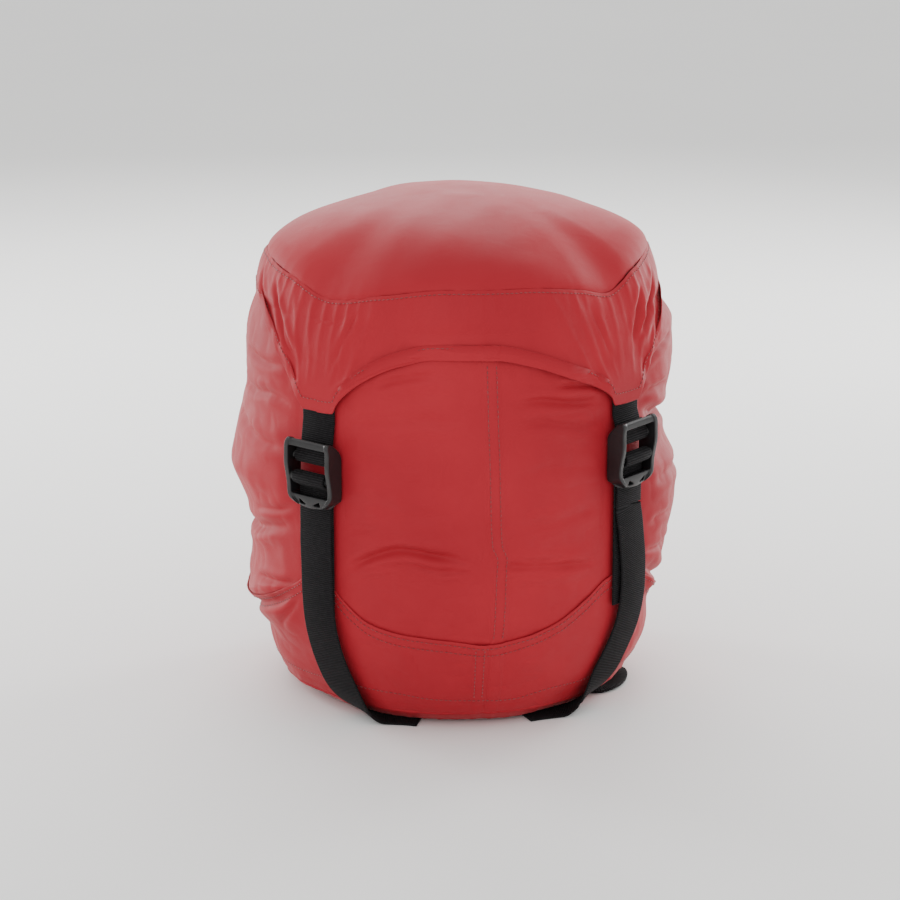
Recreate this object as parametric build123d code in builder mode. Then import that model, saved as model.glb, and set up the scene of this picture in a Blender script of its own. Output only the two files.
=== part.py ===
"""Compression stuff sack, packed full: a soft cylindrical sack with a lid cap over its tied mouth.

Four webbing straps, sewn to tips of the base cap, pull the lid down through ladder-lock buckles.
Origin at the centre of the flat contact patch under the base, +Z up, -Y the front. Millimetres.
"""
from build123d import *
import os
from math import cos, sin, radians, hypot

os.makedirs("parts", exist_ok=True)

# ---- driving dimensions ----------------------------------------------------------------------
CONTACT_R = 80.0            # flat patch that the packed sack stands on
BODY_R = 132.0              # outside of the sack wall at mid height
WALL = 1.0                  # sewn fabric skins
GAP = 0.3                   # between skins of different bodies
LID_TOP = 320.0             # crown of the lid
SEAM_R, SEAM_Z = 120.3, 276.0   # inside of the seam between the lid's top panel and its apron
TAB_Z = 200.0               # lower end of the apron's four tabs
TAB_HALF = 80.0             # the arched hems run this far to each side of an axis
HEM_RISE = 40.0             # height of each hem arch above the tabs
TIP_Z = 94.0                # top of the base cap's four tips
CAP_DIP = 32.0              # depth of the cap's arches below the tips
MOUTH_Z, MOUTH_R = 290.0, 16.0  # centre ring of the hem channel round the tied mouth
STRAP_ANGLES = {"fl": 225.0, "fr": 315.0, "br": 45.0, "bl": 135.0}
BUCKLE_Z = {"fl": 164.0, "fr": 172.0, "br": 167.0, "bl": 168.0}  # mid height of each buckle
WEB_W, WEB_T = 25.0, 1.5    # webbing

# outside of the sack wall as (radius, height), from the base seam to the throat
WALL_LINE = [(103.0, 14.5), (118.0, 28.0), (127.5, 50.0), (131.0, 78.0), (BODY_R, 110.0),
             (BODY_R, 160.0), (130.8, 188.0), (128.6, 212.0), (124.5, 238.0), (118.5, 258.0),
             (108.0, 271.0), (94.0, 279.5), (76.0, 286.0), (58.0, 289.0)]


def offset_line(points, distance):
    """The same line moved sideways: positive is outwards for a line that climbs."""
    moved = []
    for i, (r, z) in enumerate(points):
        before = points[max(i - 1, 0)]
        after = points[min(i + 1, len(points) - 1)]
        run = (after[0] - before[0], after[1] - before[1])
        length = hypot(*run)
        moved.append((r + distance * run[1] / length, z - distance * run[0] / length))
    return moved


def skin_of_revolution(points, thickness):
    """A thin skin whose inside is the smooth line through points, turned about Z."""
    with BuildPart(mode=Mode.PRIVATE) as skin:
        with BuildSketch(Plane.XZ):
            with BuildLine():
                inside = Spline(*points)
                outside = Spline(*offset_line(points, thickness))
                Line(inside @ 0, outside @ 0)
                Line(inside @ 1, outside @ 1)
            make_face()
        revolve(axis=Axis.Z)
    return skin.part


def arch_cutters(height, rise, depth):
    """Four wedges that shape a hem into arches between the strap positions.

    Each runs outwards from the axis; its curved side is an arch from height up to height + rise,
    and it reaches depth beyond that on the flat side (negative depth cuts upwards).
    """
    cutters = []
    for face in (Plane.XZ, Plane.YZ):
        with BuildPart(mode=Mode.PRIVATE) as cutter:
            with BuildSketch(face):
                with BuildLine():
                    arch = Spline((-TAB_HALF, height), (0, height + rise), (TAB_HALF, height),
                                  tangents=[(1, 0.9 * rise / 34.0), (1, -0.9 * rise / 34.0)])
                    Polyline(arch @ 1, (TAB_HALF, height - depth), (-TAB_HALF, height - depth),
                             arch @ 0)
                make_face()
            extrude(amount=200, both=True)
        cutters.append(cutter.part)
    return cutters


def strap_plane(name):
    """Plane through the axis and the middle of one strap: local x outwards, local y up."""
    a = radians(STRAP_ANGLES[name])
    return Plane(origin=(0, 0, 0), x_dir=(cos(a), sin(a), 0), z_dir=(sin(a), -cos(a), 0))


# ---- the load and the sack -------------------------------------------------------------------
with BuildPart() as packed_load:
    load_line = offset_line(WALL_LINE, -WALL - GAP)
    with BuildSketch(Plane.XZ):
        with BuildLine():
            side = Spline(*load_line[:-1])
            floor = Line((0, 1.6), (CONTACT_R - 0.7, 1.6))
            Spline(floor @ 1, (87.0, 4.7), (94.8, 8.9), side @ 0)
            top = Spline(side @ 1, (40, 286.0), (0, 286.0), tangents=[(-1, 0.25), (-1, 0)])
            Line(top @ 1, floor @ 0)
        make_face()
    revolve(axis=Axis.Z)
packed_load.part.label = "packed_load"
export_step(packed_load.part, "parts/packed_load.step")

with BuildPart() as sack_body:
    add(skin_of_revolution(offset_line(WALL_LINE, -WALL), WALL))
sack_body.part.label = "sack_body"
export_step(sack_body.part, "parts/sack_body.step")

with BuildPart() as base_panel:
    with BuildSketch(Plane.XZ):
        with BuildLine():
            flat = Line((0, 0), (CONTACT_R, 0))
            rim = Spline(flat @ 1, (88, 3.0), (96, 7.0), (103.0, 13.4), tangents=[(1, 0.1), (0.5, 1)])
            edge = Line(rim @ 1, rim @ 1 + Vector(-WALL, 0.4))
            under = Spline(edge @ 1, (95.2, 7.7), (87.4, 3.9), (CONTACT_R, 1.2),
                           tangents=[(-0.5, -1), (-1, -0.05)])
            Polyline(under @ 1, (0, 1.2), flat @ 0)
        make_face()
    revolve(axis=Axis.Z)
base_panel.part.label = "base_panel"
export_step(base_panel.part, "parts/base_panel.step")

with BuildPart() as base_cap:
    add(skin_of_revolution(offset_line(WALL_LINE[:5], 0.25), WALL))
    for cutter in arch_cutters(TIP_Z, -CAP_DIP, -60):
        add(cutter, mode=Mode.SUBTRACT)
    with BuildSketch(Plane.XY.offset(TIP_Z)):
        Circle(200)
    extrude(amount=40, mode=Mode.SUBTRACT)
base_cap.part.label = "base_cap"
export_step(base_cap.part, "parts/base_cap.step")

# ---- the tied mouth --------------------------------------------------------------------------
CHANNEL_R, CORD_R = 3.6, 1.5
STEM_Y = -(MOUTH_R + CHANNEL_R)         # the cord leaves the channel here
STEM_GAP = 3.6                          # between the two strands' centres
LOCK_Y = STEM_Y - 22.0                  # centre of the cord lock
CORD_Z = MOUTH_Z + 10.4                 # height of the strands through the lock
KNOT_Y, KNOT_Z = LOCK_Y - 29.0, MOUTH_Z + 3.8

with BuildPart() as mouth_collar:
    with BuildSketch(Plane.XZ):
        with BuildLine():
            gathered = Spline((57.6, 289.05), (44, 288.6), (30, 287.4), (18.4, 285.8))
            Line(gathered @ 1, gathered @ 1 + Vector(0, WALL))
            back = Spline(gathered @ 1 + Vector(0, WALL), (30, 287.4 + WALL), (44, 288.6 + WALL),
                          (57.6, 289.05 + WALL))
            Line(back @ 1, gathered @ 0)
        make_face()
        with Locations((MOUTH_R, MOUTH_Z)):
            Circle(CHANNEL_R)
            Circle(CORD_R + 0.3, mode=Mode.SUBTRACT)
    revolve(axis=Axis.Z)
    with BuildSketch(Plane.XZ.offset(MOUTH_R)):
        with Locations((0, MOUTH_Z)):
            SlotOverall(STEM_GAP + 2 * CORD_R + 0.8, 2 * CORD_R + 0.8)
    extrude(amount=2 * CHANNEL_R, mode=Mode.SUBTRACT)
mouth_collar.part.label = "mouth_collar"
export_step(mouth_collar.part, "parts/mouth_collar.step")

with BuildPart() as eyelet:
    with BuildSketch(Plane.XZ.offset(-STEM_Y + 0.2)):
        with Locations((0, MOUTH_Z)):
            SlotOverall(STEM_GAP + 2 * CORD_R + 2.2, 2 * CORD_R + 2.2)
            SlotOverall(STEM_GAP + 2 * CORD_R + 0.9, 2 * CORD_R + 0.9, mode=Mode.SUBTRACT)
    extrude(amount=1.0)
eyelet.part.label = "eyelet"
export_step(eyelet.part, "parts/eyelet.step")

with BuildPart() as drawcord:
    with BuildSketch(Plane.XZ):
        with Locations((MOUTH_R, MOUTH_Z)):
            Circle(CORD_R)
    revolve(axis=Axis.Z)
    for x in (-STEM_GAP / 2, STEM_GAP / 2):
        with BuildLine():
            stem = FilletPolyline((x, -MOUTH_R, MOUTH_Z), (x, STEM_Y - 3.5, MOUTH_Z),
                                  (x, LOCK_Y + 9.5, CORD_Z), (x, LOCK_Y - 11.5, CORD_Z),
                                  (x, LOCK_Y - 19.5, KNOT_Z), (x, KNOT_Y, KNOT_Z), radius=4)
        with BuildSketch(Plane(origin=stem @ 0, z_dir=stem % 0)):
            Circle(CORD_R)
        sweep(path=stem)
    with BuildSketch(Plane.XZ.offset(-KNOT_Y)):
        with Locations((0, KNOT_Z)):
            SlotOverall(10.0, 6.6)
    extrude(amount=8)
    fillet(drawcord.faces().sort_by(Axis.Y)[0].edges(), 2.0)
drawcord.part.label = "drawcord"
export_step(drawcord.part, "parts/drawcord.step")

LOCK_W, LOCK_D = 15.0, 14.0             # cord lock across the strands and along them
LOCK_LOW, LOCK_HIGH = MOUTH_Z + 1.0, MOUTH_Z + 17.0
WELL_R, PLUNGER_R = 4.9, 4.6
PLUNGER_LOW, PLUNGER_TOP = MOUTH_Z + 7.0, MOUTH_Z + 22.0
PRESS_TRAVEL = 3.0
HOLE_W = STEM_GAP + 2 * CORD_R + 0.6

with BuildPart() as cord_lock_barrel:
    with BuildSketch(Plane.XY.offset(LOCK_LOW)):
        with Locations((0, LOCK_Y)):
            RectangleRounded(LOCK_W, LOCK_D, 4.5)
    extrude(amount=LOCK_HIGH - LOCK_LOW)
    fillet(cord_lock_barrel.faces().sort_by(Axis.Z)[0].edges(), 1.0)
    with BuildSketch(Plane.XY.offset(LOCK_LOW + 1.4)):
        with Locations((0, LOCK_Y)):
            Circle(WELL_R)
    extrude(amount=20, mode=Mode.SUBTRACT)
    with BuildSketch(Plane.XZ.offset(-LOCK_Y - LOCK_D)):
        with Locations((0, CORD_Z)):
            SlotOverall(HOLE_W, 2 * CORD_R + 0.7)
    extrude(amount=2 * LOCK_D, mode=Mode.SUBTRACT)
cord_lock_barrel.part.label = "cord_lock_barrel"
export_step(cord_lock_barrel.part, "parts/cord_lock_barrel.step")

with BuildPart() as cord_lock_plunger:
    with BuildSketch(Plane.XY.offset(PLUNGER_LOW)):
        with Locations((0, LOCK_Y)):
            Circle(PLUNGER_R)
    extrude(amount=PLUNGER_TOP - PLUNGER_LOW)
    fillet(cord_lock_plunger.faces().sort_by(Axis.Z)[-1].edges(), 1.2)
    with BuildSketch(Plane.XZ.offset(-LOCK_Y - LOCK_D)):
        with Locations((0, CORD_Z + PRESS_TRAVEL / 2)):
            RectangleRounded(HOLE_W, 2 * CORD_R + 0.7 + PRESS_TRAVEL, 1.4)
    extrude(amount=2 * LOCK_D, mode=Mode.SUBTRACT)
cord_lock_plunger.part.label = "cord_lock_plunger"
export_step(cord_lock_plunger.part, "parts/cord_lock_plunger.step")

SPRING_WIRE, SPRING_R = 0.3, 3.2        # wire radius and coil radius
SPRING_LOW = LOCK_LOW + 1.4 + SPRING_WIRE + 0.05

with BuildPart() as cord_lock_spring:
    with BuildLine():
        coil = Helix(pitch=1.2, height=PLUNGER_LOW - SPRING_LOW - SPRING_WIRE - 0.1,
                     radius=SPRING_R, center=(0, LOCK_Y, SPRING_LOW))
    with BuildSketch(Plane(origin=coil @ 0, z_dir=coil % 0)):
        Circle(SPRING_WIRE)
    sweep(path=coil, is_frenet=True)
cord_lock_spring.part.label = "cord_lock_spring"
export_step(cord_lock_spring.part, "parts/cord_lock_spring.step")

# ---- the lid ---------------------------------------------------------------------------------
# inside of the apron: loose at the tabs, where webbing is sewn up inside it
APRON_LINE = [(134.0, TAB_Z - 12.0), (133.7, 212.0), (130.3, 232.0), (125.2, 256.0),
              (SEAM_R, SEAM_Z)]

with BuildPart() as lid_apron:
    add(skin_of_revolution(APRON_LINE, WALL))
    for cutter in arch_cutters(TAB_Z, HEM_RISE, 60):
        add(cutter, mode=Mode.SUBTRACT)
    with BuildSketch(Plane.XY.offset(TAB_Z)):
        Circle(200)
    extrude(amount=-40, mode=Mode.SUBTRACT)
lid_apron.part.label = "lid_apron"
export_step(lid_apron.part, "parts/lid_apron.step")

with BuildPart() as lid_panel:
    with BuildSketch(Plane.XZ):
        with BuildLine():
            crown = Spline((0, LID_TOP), (45, 316.5), (80, 307.0), (104, 294.0),
                           (SEAM_R + WALL, SEAM_Z + 0.8), tangents=[(1, 0), (0.35, -1)])
            inner = Spline((0, LID_TOP - WALL), (45, 315.5), (79.7, 306.0), (103.3, 293.2),
                           (SEAM_R, SEAM_Z + 0.8), tangents=[(1, 0), (0.35, -1)])
            Line(crown @ 0, inner @ 0)
            Line(crown @ 1, inner @ 1)
        make_face()
    revolve(axis=Axis.Z)
lid_panel.part.label = "lid_panel"
export_step(lid_panel.part, "parts/lid_panel.step")

# ---- ladder-lock buckles: side cheeks, frame bar, webbing bar, adjuster bar and lift tab ------
BACK_D = 132.2                  # distance of a buckle's back from the axis
BUCKLE_W, CHEEK_T = 36.0, 3.2
HALF_H = 22.5
PIVOT = (137.2, 10.5)           # webbing bar: (distance from the axis, height above mid buckle)
PIVOT_R = 2.2
ADJUST = (139.8, -2.1)          # adjuster bar
ADJUST_R = 2.5


for name, mid in BUCKLE_Z.items():
    side_plane = strap_plane(name)
    with BuildPart() as buckle:
        with BuildSketch(side_plane.offset(-BUCKLE_W / 2)):
            with BuildLine():
                back = Line((BACK_D, mid - 17), (BACK_D, mid + 11))
                crest = Spline(back @ 1, (134.4, mid + 16.5), (138.2, mid + 20.6), (142.2, mid + 22.4),
                               tangents=[(0, 1), (1, 0.15)])
                front = Spline(crest @ 1, (144.6, mid + 15), (144.8, mid + 8), (142.8, mid - 4),
                               (142.4, mid - 12), (140.6, mid - HALF_H + 1.5),
                               tangents=[(1, -0.2), (-1, -1.2)])
                tip = Spline(front @ 1, (137.6, mid - HALF_H), back @ 0, tangents=[(-1, -0.6), (-0.6, 1)])
            make_face()
        extrude(amount=BUCKLE_W)
        with BuildSketch(side_plane.offset(-BUCKLE_W / 2 + CHEEK_T)):
            with Locations((138.5, mid)):
                Rectangle(30, 60)
        extrude(amount=BUCKLE_W - 2 * CHEEK_T, mode=Mode.SUBTRACT)
        with BuildSketch(side_plane.offset(-BUCKLE_W / 2 + 1)):
            with Locations((PIVOT[0], mid + PIVOT[1])):
                Circle(PIVOT_R)
            with Locations((ADJUST[0], mid + ADJUST[1])):
                Circle(ADJUST_R)
            with BuildLine():
                Polyline((141.7, mid + 18.2), (143.9, mid + 17.6), (143.6, mid + 21.0),
                         (142.2, mid + 22.2), (141.3, mid + 21.6), close=True)
            make_face()
            with BuildLine():
                Polyline((137.2, mid - 13.2), (141.9, mid - 12.8), (141.6, mid - 15.6),
                         (140.2, mid - 21.0), (137.8, mid - 22.2), (137.2, mid - 20.5), close=True)
            make_face()
        extrude(amount=BUCKLE_W - 2)
        a = radians(STRAP_ANGLES[name])
        front_plane = Plane(origin=(150 * cos(a), 150 * sin(a), 0), x_dir=(-sin(a), cos(a), 0),
                            z_dir=(cos(a), sin(a), 0))
        with BuildSketch(front_plane):
            for flip in (-1, 1):
                with BuildLine():
                    Polyline((flip * 3.2, mid - 18.6), (flip * 11.5, mid - 19.4),
                             (flip * 9.0, mid - 15.4), close=True)
                make_face()
        extrude(amount=-16, mode=Mode.SUBTRACT)
    buckle.part.label = "buckle_" + name
    export_step(buckle.part, "parts/buckle_" + name + ".step")

# ---- webbing ---------------------------------------------------------------------------------
SEWN_D = 132.15             # middle of the webbing sewn up inside an apron tab
LOAD_D = 134.05             # middle of the run that carries the load
TAIL_D = 136.0              # middle of the free tail behind the lift tab
WRAP_R = 3.45               # middle of the webbing round the adjuster bar
LOOP_R = 3.15               # middle of the webbing round the webbing bar
SEW_LOW = 76.0              # the load run is sewn to the cap between here and the tip

for name, mid in BUCKLE_Z.items():
    side_plane = strap_plane(name)
    pivot_z = mid + PIVOT[1]
    with BuildPart() as upper_webbing:
        with BuildSketch(side_plane.offset(-WEB_W / 2)):
            with BuildLine():
                FilletPolyline((SEWN_D, TAB_Z + 11), (SEWN_D, TAB_Z - 3),
                               (PIVOT[0] - LOOP_R, pivot_z + 9), (PIVOT[0] - LOOP_R, pivot_z - LOOP_R),
                               (PIVOT[0] + LOOP_R, pivot_z - LOOP_R), (PIVOT[0] + LOOP_R, pivot_z + 1.6),
                               (PIVOT[0] - LOOP_R + WEB_T + 0.12, pivot_z + 9.2),
                               radius=[4, 4, LOOP_R - 0.05, LOOP_R - 0.05, 2.5])
            trace(line_width=WEB_T)
        extrude(amount=WEB_W)
    upper_webbing.part.label = "upper_webbing_" + name
    export_step(upper_webbing.part, "parts/upper_webbing_" + name + ".step")

    adjust_z = mid + ADJUST[1]
    top_z = adjust_z + WRAP_R
    front_d = ADJUST[0] + WRAP_R
    with BuildPart() as strap:
        with BuildSketch(side_plane.offset(-WEB_W / 2)):
            with BuildLine():
                FilletPolyline((LOAD_D, SEW_LOW), (LOAD_D, mid - 8), (ADJUST[0] - WRAP_R, mid - 3.2),
                               (ADJUST[0] - WRAP_R, top_z), (front_d, top_z),
                               (front_d, adjust_z - 2.0), (TAIL_D, mid - 8.3),
                               (TAIL_D, 56), (129.5, 34), (112.0, 0.95), (93.5, 0.95),
                               radius=[4, 3, WRAP_R - 0.05, WRAP_R - 0.05, WRAP_R, 2.4, 30, 20, 5])
            trace(line_width=WEB_T)
        extrude(amount=WEB_W)
    strap.part.label = "compression_strap_" + name
    export_step(strap.part, "parts/compression_strap_" + name + ".step")

# ---- grab loop under the base's edge ---------------------------------------------------------
GRAB_ANGLE = -18.0              # direction it points, from +X
GRAB_PIVOT_R, GRAB_TIP_R = 88.0, 112.0
GRAB_HALF, GRAB_HOLE_HALF = 29.0, 11.0
GRAB_T = 1.6
GRAB_Z = 0.2

with BuildPart() as grab_loop:
    turned = Plane(origin=(0, 0, GRAB_Z), x_dir=(cos(radians(GRAB_ANGLE)), sin(radians(GRAB_ANGLE)), 0),
                   z_dir=(0, 0, 1))
    with BuildSketch(turned):
        with BuildLine():
            left_leg = Line((GRAB_PIVOT_R, -GRAB_HALF), (GRAB_PIVOT_R + 6, -GRAB_HALF))
            outer = Spline(left_leg @ 1, (GRAB_TIP_R, -8), (GRAB_TIP_R, 8),
                           (GRAB_PIVOT_R + 6, GRAB_HALF), tangents=[(1, 0.2), (-1, 0.2)])
            right_leg = Line(outer @ 1, (GRAB_PIVOT_R, GRAB_HALF))
            Line(right_leg @ 1, left_leg @ 0)
        make_face()
        with Locations((GRAB_PIVOT_R + 5.0, 0)):
            SlotOverall(2 * GRAB_HOLE_HALF, 13.0, rotation=90, mode=Mode.SUBTRACT)
        with Locations((GRAB_PIVOT_R - 2, 0)):
            Rectangle(14, 2 * GRAB_HOLE_HALF - 10, mode=Mode.SUBTRACT)
    extrude(amount=GRAB_T)
grab_loop.part.label = "grab_loop"
export_step(grab_loop.part, "parts/grab_loop.step")
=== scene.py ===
"""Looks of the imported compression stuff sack: taffeta shell, gathered lid, webbing straps, moulded buckles.

Angles are degrees round the sack from the front (-Y) towards +X. Lengths in the tables are millimetres.
"""
import math

import bpy
import numpy as np
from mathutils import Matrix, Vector


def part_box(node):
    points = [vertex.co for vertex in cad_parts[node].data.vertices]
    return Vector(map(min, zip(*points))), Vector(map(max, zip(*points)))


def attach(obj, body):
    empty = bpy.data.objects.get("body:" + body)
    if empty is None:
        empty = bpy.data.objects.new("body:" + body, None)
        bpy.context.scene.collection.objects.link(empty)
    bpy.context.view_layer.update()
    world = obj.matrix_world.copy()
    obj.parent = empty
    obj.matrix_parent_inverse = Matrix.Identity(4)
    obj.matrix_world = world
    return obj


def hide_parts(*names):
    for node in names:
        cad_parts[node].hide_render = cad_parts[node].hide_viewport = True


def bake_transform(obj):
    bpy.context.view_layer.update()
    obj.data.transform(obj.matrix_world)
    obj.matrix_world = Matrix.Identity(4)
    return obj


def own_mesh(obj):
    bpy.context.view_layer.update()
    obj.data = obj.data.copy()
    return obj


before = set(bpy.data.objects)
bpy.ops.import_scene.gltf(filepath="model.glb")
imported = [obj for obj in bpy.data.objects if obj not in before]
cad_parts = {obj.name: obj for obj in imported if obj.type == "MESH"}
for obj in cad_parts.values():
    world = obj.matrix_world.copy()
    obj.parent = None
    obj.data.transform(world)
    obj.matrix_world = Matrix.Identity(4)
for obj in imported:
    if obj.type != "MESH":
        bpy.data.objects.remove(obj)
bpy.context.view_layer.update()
MM = 0.001

# ---- camera
CAMERA_AZIMUTH, CAMERA_ELEVATION, CAMERA_DISTANCE, CAMERA_LENS = -6.0, 16.0, 2.0, 125.0
AIM = Vector((-0.004, 0.0, 0.149))


def make_camera():
    """A long lens a little above the sack and to the left of its front."""
    az, el = math.radians(CAMERA_AZIMUTH), math.radians(CAMERA_ELEVATION)
    back = Vector((math.sin(az) * math.cos(el), -math.cos(az) * math.cos(el), math.sin(el)))
    data = bpy.data.cameras.new("camera")
    data.lens = CAMERA_LENS
    camera = bpy.data.objects.new("camera", data)
    bpy.context.collection.objects.link(camera)
    camera.location = AIM + back * CAMERA_DISTANCE
    camera.rotation_mode = "QUATERNION"
    camera.rotation_quaternion = (-back).to_track_quat("-Z", "Y")
    bpy.context.scene.camera = camera


make_camera()

# ---- numbers that shape the sack
STRAP_AT = {"fl": -45.0, "fr": 45.0, "br": 135.0, "bl": -135.0}
SEAM_BASE = (110.0, 13.0)       # base seam: radius, height
SHOULDER_Z = 256.0              # the wall turns in towards the mouth above this
THROAT = (57.0, 288.6)          # where the wall meets the gathered collar
CHANNEL = 8.0                   # the wall stays pressed in this many degrees each side of a strap
U_RADIUS = 133.0                # folds are laid out on the wall unrolled at this radius

# outline of the wall as (height, radius), at eight places round it
FRONT = [(13, 110), (26, 117.5), (40, 122.5), (55, 127), (65, 129.6), (80, 132.6), (100, 134.2),
         (115, 133.6), (132, 135.4), (160, 136.6), (190, 135.4), (212, 132.2), (234, 129.0), (256, 125.2)]
STRAP = [(13, 108.5), (26, 116), (40, 121.5), (53, 126), (65, 129), (80, 130.8), (100, 131.6),
         (140, 131.8), (180, 131.5), (200, 130.6), (212, 129.8), (234, 127.4), (256, 123.6)]
LEFT = [(13, 112.5), (26, 118), (40, 120.5), (53, 128), (62, 133), (74, 134), (88, 131.5), (104, 129.5),
        (116, 131.5), (132, 137), (147, 142.5), (166, 139.5), (182, 136), (200, 133), (225, 132.5),
        (240, 130), (256, 125)]
RIGHT = [(13, 107), (26, 117.5), (40, 122), (52, 121.5), (62, 121.5), (74, 128.5), (88, 133), (106, 137),
         (120, 139.3), (134, 140.3), (148, 138.5), (166, 131), (180, 127.5), (194, 133.5), (212, 137),
         (236, 137), (248, 130), (256, 125)]
BACK = [(13, 110), (26, 118), (40, 123), (55, 128.5), (70, 132), (90, 131), (112, 134.5), (140, 137.5),
        (170, 136), (190, 133.5), (212, 134), (234, 130), (256, 125)]
OUTLINES = [(-180, BACK), (-135, STRAP), (-95, LEFT), (-45, STRAP), (0, FRONT), (45, STRAP), (86, RIGHT),
            (135, STRAP), (180, BACK)]


def smooth_interp(x, table):
    """Monotone cubic through a table of (x, y) rows, flat beyond its ends."""
    xs, ys = np.asarray(table, float).T
    h, slope = np.diff(xs), np.diff(ys) / np.diff(xs)
    m = np.zeros_like(ys)
    same = slope[:-1] * slope[1:] > 0
    w1, w2 = 2 * h[1:] + h[:-1], h[1:] + 2 * h[:-1]
    inner = np.zeros(len(same))
    inner[same] = ((w1 + w2)[same]) / ((w1 / np.where(slope[:-1] == 0, 1, slope[:-1]))[same]
                                       + (w2 / np.where(slope[1:] == 0, 1, slope[1:]))[same])
    m[1:-1] = inner
    m[0], m[-1] = slope[0], slope[-1]
    x = np.clip(np.asarray(x, float), xs[0], xs[-1])
    k = np.clip(np.searchsorted(xs, x) - 1, 0, len(h) - 1)
    t = (x - xs[k]) / h[k]
    return ((2 * t**3 - 3 * t**2 + 1) * ys[k] + (t**3 - 2 * t**2 + t) * h[k] * m[k]
            + (3 * t**2 - 2 * t**3) * ys[k + 1] + (t**3 - t**2) * h[k] * m[k + 1])


def smoothstep(low, high, x):
    t = np.clip((x - low) / (high - low), 0, 1)
    return t * t * (3 - 2 * t)


def wrap_degrees(a):
    return (np.asarray(a, float) + 180.0) % 360.0 - 180.0


def lattice_noise(phi, z, cell_phi, cell_z, seed):
    """Smooth value noise from -1 to 1 that closes round the sack. cell_phi divides 360."""
    count = int(round(360.0 / cell_phi))
    rows = 96
    grid = np.random.default_rng(seed).uniform(-1, 1, (rows, count))
    u, v = (np.asarray(phi, float) % 360.0) / cell_phi, np.asarray(z, float) / cell_z + 8
    i, j = np.floor(u).astype(int), np.floor(v).astype(int)
    fu, fv = u - i, v - j
    fu, fv = fu * fu * (3 - 2 * fu), fv * fv * (3 - 2 * fv)
    i0, i1, j0, j1 = i % count, (i + 1) % count, j % rows, (j + 1) % rows
    return ((grid[j0, i0] * (1 - fu) + grid[j0, i1] * fu) * (1 - fv)
            + (grid[j1, i0] * (1 - fu) + grid[j1, i1] * fu) * fv)


def smooth_line(points, parts=5):
    """A Catmull-Rom line through the points, with parts pieces between each two."""
    pts = [np.array(p, float) for p in points]
    pts = [2 * pts[0] - pts[1]] + pts + [2 * pts[-1] - pts[-2]]
    made = []
    for a, b, c, d in zip(pts, pts[1:], pts[2:], pts[3:]):
        for t in np.linspace(0, 1, parts, endpoint=False):
            made.append(0.5 * (2 * b + (c - a) * t + (2 * a - 5 * b + 4 * c - d) * t**2
                               + (3 * b - a - 3 * c + d) * t**3))
    return made + [pts[-2]]


def fold(phi, z, points, depth, width, above=0.0, below=0.0, ends=0.3):
    """Height of one fold: a valley along points, with fabric swelling above and below it.

    ends is the share of the length over which the fold fades out at each end.
    """
    start = points[0][0]
    line = smooth_line([(math.radians(p - start) * U_RADIUS, q) for p, q in points])
    across = np.radians(wrap_degrees(phi - start)) * U_RADIUS
    reach = 7 * width
    low, high = np.min(line, axis=0) - reach, np.max(line, axis=0) + reach
    inside = (across > low[0]) & (across < high[0]) & (z > low[1]) & (z < high[1])
    result = np.zeros(np.shape(across))
    if not inside.any():
        return result
    u, v = across[inside], np.broadcast_to(z, across.shape)[inside]
    best, side, along = np.full(u.shape, 1e9), np.zeros(u.shape), np.zeros(u.shape)
    run = 0.0
    for a, b in zip(line, line[1:]):
        length = math.dist(a, b)
        dx, dy = (b - a) / length
        t = np.clip((u - a[0]) * dx + (v - a[1]) * dy, 0, length)
        gap_x, gap_y = u - a[0] - t * dx, v - a[1] - t * dy
        distance = np.hypot(gap_x, gap_y)
        nearer = distance < best
        best = np.where(nearer, distance, best)
        side = np.where(nearer, np.sign(dx * gap_y - dy * gap_x), side)
        along = np.where(nearer, run + t, along)
        run += length
    share = along / run
    fade = smoothstep(0, ends, share) * smoothstep(0, ends, 1 - share)
    signed = best * side
    rise = (above * np.exp(-((signed - 2.3 * width) / (1.5 * width)) ** 2)
            + below * np.exp(-((signed + 2.3 * width) / (1.5 * width)) ** 2))
    result[inside] = fade * (rise - depth * np.exp(-((best / width) ** 2)))
    return result


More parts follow.
